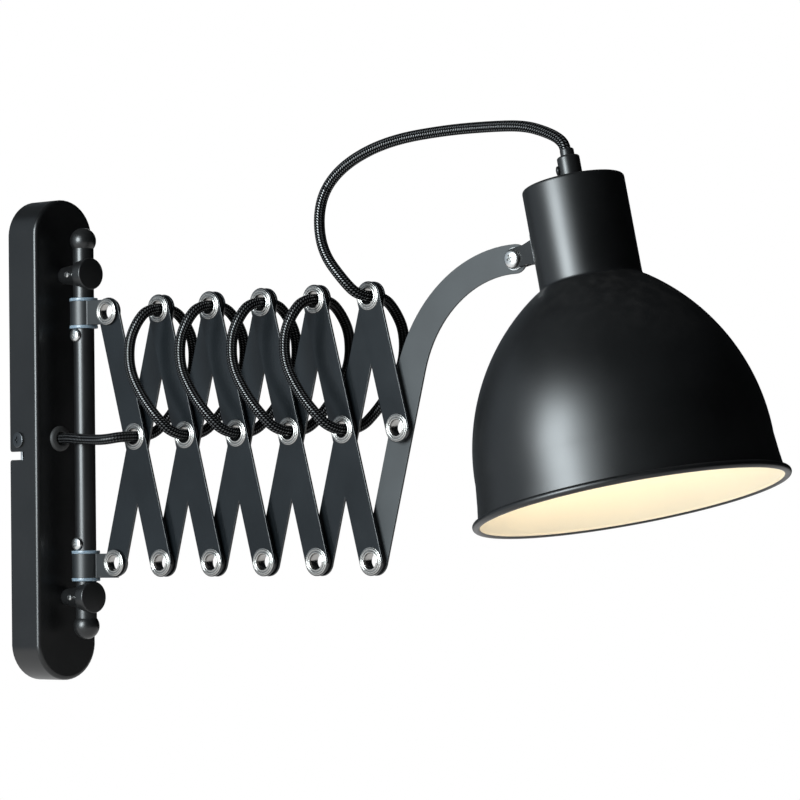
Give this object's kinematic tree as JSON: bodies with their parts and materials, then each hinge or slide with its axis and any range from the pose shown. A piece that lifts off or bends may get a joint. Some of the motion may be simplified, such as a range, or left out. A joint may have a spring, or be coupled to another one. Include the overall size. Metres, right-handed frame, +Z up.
{
  "type": "scissor wall lamp",
  "caption": "Wall lamp with a wall cover, a pivot rod, an extending scissor arm with its cord threaded through the eyelets, a swan neck and a tilting dome shade.",
  "frame": {"origin": "centre of the wall cover's back plane, on the wall", "axes": "+Z up, -Y out of the wall toward the shade, +X to the right of someone facing the wall"},
  "size_m": [0.1812, 0.5568, 0.3267],
  "materials": {
    "black_paint": "satin",
    "shade_paint": "satin",
    "arm_paint": "satin",
    "nickel": "polished",
    "steel": "zinc plated",
    "zinc_steel": "zinc plated",
    "bush_plastic": "translucent",
    "black_plastic": "matte",
    "white_plastic": "gloss",
    "holder_plastic": "gloss",
    "rubber": "matte",
    "cord_braid": "woven braid"
  },
  "bodies": {
    "wall_unit": {"wall_cover": "black_paint", "wall_strap": "zinc_steel", "side_screws": "black_paint", "terminal_block": "white_plastic", "cord_grommet": "rubber", "rod_posts": "black_paint", "post_screws": "steel", "post_set_screws": "steel", "pivot_rod": "black_paint", "rod_balls": "black_paint", "stop_screws": "steel", "cord_lead": "cord_braid"},
    "lower_swivel": {"lower_bracket": "arm_paint", "lower_bush": "bush_plastic", "lower_eyelet": "nickel"},
    "upper_slider": {"upper_bracket": "arm_paint", "upper_bush": "bush_plastic", "upper_eyelet": "nickel"},
    "near_1": {"near_bar_1": "arm_paint", "eyelets_1": "nickel", "spacers_1": "black_plastic"},
    "near_2": {"near_bar_2": "arm_paint", "eyelets_2": "nickel", "spacers_2": "black_plastic", "cord_near_2": "cord_braid"},
    "near_3": {"near_bar_3": "arm_paint", "eyelets_3": "nickel", "spacers_3": "black_plastic", "cord_near_3": "cord_braid"},
    "near_4": {"near_bar_4": "arm_paint", "eyelets_4": "nickel", "spacers_4": "black_plastic", "cord_near_4": "cord_braid"},
    "near_5": {"near_bar_5": "arm_paint", "eyelets_5": "nickel", "spacers_5": "black_plastic", "cord_near_5": "cord_braid"},
    "near_6": {"near_bar_6": "arm_paint", "eyelets_6": "nickel", "spacers_6": "black_plastic", "cord_loop": "cord_braid"},
    "far_1": {"far_bar_1": "arm_paint", "cord_far_1": "cord_braid"},
    "far_2": {"far_bar_2": "arm_paint", "cord_far_2": "cord_braid"},
    "far_3": {"far_bar_3": "arm_paint", "cord_far_3": "cord_braid"},
    "far_4": {"far_bar_4": "arm_paint", "cord_far_4": "cord_braid"},
    "far_5": {"far_bar_5": "arm_paint", "cord_far_5": "cord_braid"},
    "swan": {"swan_arm": "arm_paint"},
    "shade_head": {"shade": "shade_paint", "lampholder": "holder_plastic", "cord_grip": "black_paint", "cord_grip_screw": "black_paint", "shade_bracket": "black_paint", "knuckle_washers": "steel", "knuckle_screw": "steel", "knuckle_nut": "steel"}
  },
  "joints": [
    {"name": "swing", "type": "hinge", "parent": "wall_unit", "child": "lower_swivel", "pos_m": [0, -0.045, 0], "axis": [0, 0, 1], "range_deg": [-80.66, 69.34], "deforming": ["cord_lead"]},
    {"name": "extend", "type": "hinge", "parent": "lower_swivel", "child": "far_1", "pos_m": [0.00237, -0.06888, -0.07724], "axis": [-0.9951, -0.0986, 0], "range_deg": [0, 8.7], "deforming": ["cord_lead", "cord_loop"]},
    {"name": "cross_1", "type": "hinge", "parent": "far_1", "child": "near_1", "pos_m": [0.00446, -0.09003, 0.0004], "axis": [-0.9951, -0.0986, 0], "range_deg": [-17.5, 0.1]},
    {"name": "upper_pin", "type": "hinge", "parent": "near_1", "child": "upper_slider", "pos_m": [0.00237, -0.06888, 0.07805], "axis": [-0.9951, -0.0986, 0], "range_deg": [-0.1, 8.8]},
    {"name": "link_2", "type": "hinge", "parent": "far_1", "child": "near_2", "pos_m": [0.00656, -0.11118, 0.07805], "axis": [-0.9951, -0.0986, 0], "range_deg": [-17.5, 0.1]},
    {"name": "cross_2", "type": "hinge", "parent": "near_2", "child": "far_2", "pos_m": [0.00865, -0.13232, 0.0004], "axis": [-0.9951, -0.0986, 0], "range_deg": [-0.1, 17.5]},
    {"name": "link_3", "type": "hinge", "parent": "far_2", "child": "near_3", "pos_m": [0.01075, -0.15347, 0.07805], "axis": [-0.9951, -0.0986, 0], "range_deg": [-17.5, 0.1]},
    {"name": "cross_3", "type": "hinge", "parent": "near_3", "child": "far_3", "pos_m": [0.01285, -0.17461, 0.0004], "axis": [-0.9951, -0.0986, 0], "range_deg": [-0.1, 17.5]},
    {"name": "link_4", "type": "hinge", "parent": "far_3", "child": "near_4", "pos_m": [0.01494, -0.19576, 0.07805], "axis": [-0.9951, -0.0986, 0], "range_deg": [-17.5, 0.1]},
    {"name": "cross_4", "type": "hinge", "parent": "near_4", "child": "far_4", "pos_m": [0.01704, -0.21691, 0.0004], "axis": [-0.9951, -0.0986, 0], "range_deg": [-0.1, 17.5]},
    {"name": "link_5", "type": "hinge", "parent": "far_4", "child": "near_5", "pos_m": [0.01913, -0.23805, 0.07805], "axis": [-0.9951, -0.0986, 0], "range_deg": [-17.5, 0.1]},
    {"name": "cross_5", "type": "hinge", "parent": "near_5", "child": "far_5", "pos_m": [0.02123, -0.2592, 0.0004], "axis": [-0.9951, -0.0986, 0], "range_deg": [-0.1, 17.5]},
    {"name": "link_6", "type": "hinge", "parent": "far_5", "child": "near_6", "pos_m": [0.02332, -0.28035, 0.07805], "axis": [-0.9951, -0.0986, 0], "range_deg": [-17.5, 0.1]},
    {"name": "cross_6", "type": "hinge", "parent": "near_6", "child": "swan", "pos_m": [0.02542, -0.30149, 0.0004], "axis": [-0.9951, -0.0986, 0], "range_deg": [-0.1, 17.5]},
    {"name": "tilt", "type": "hinge", "parent": "swan", "child": "shade_head", "pos_m": [0.03621, -0.3875, 0.0946], "axis": [-0.9951, -0.0986, 0], "range_deg": [-30, 45], "deforming": ["cord_loop"]}
  ],
  "couplings": [
    {"joint": "cross_1", "follows": "extend", "ratio": -2},
    {"joint": "upper_pin", "follows": "extend", "ratio": 1},
    {"joint": "link_2", "follows": "extend", "ratio": -2},
    {"joint": "cross_2", "follows": "extend", "ratio": 2},
    {"joint": "link_3", "follows": "extend", "ratio": -2},
    {"joint": "cross_3", "follows": "extend", "ratio": 2},
    {"joint": "link_4", "follows": "extend", "ratio": -2},
    {"joint": "cross_4", "follows": "extend", "ratio": 2},
    {"joint": "link_5", "follows": "extend", "ratio": -2},
    {"joint": "cross_5", "follows": "extend", "ratio": 2},
    {"joint": "link_6", "follows": "extend", "ratio": -2},
    {"joint": "cross_6", "follows": "extend", "ratio": 2}
  ]
}
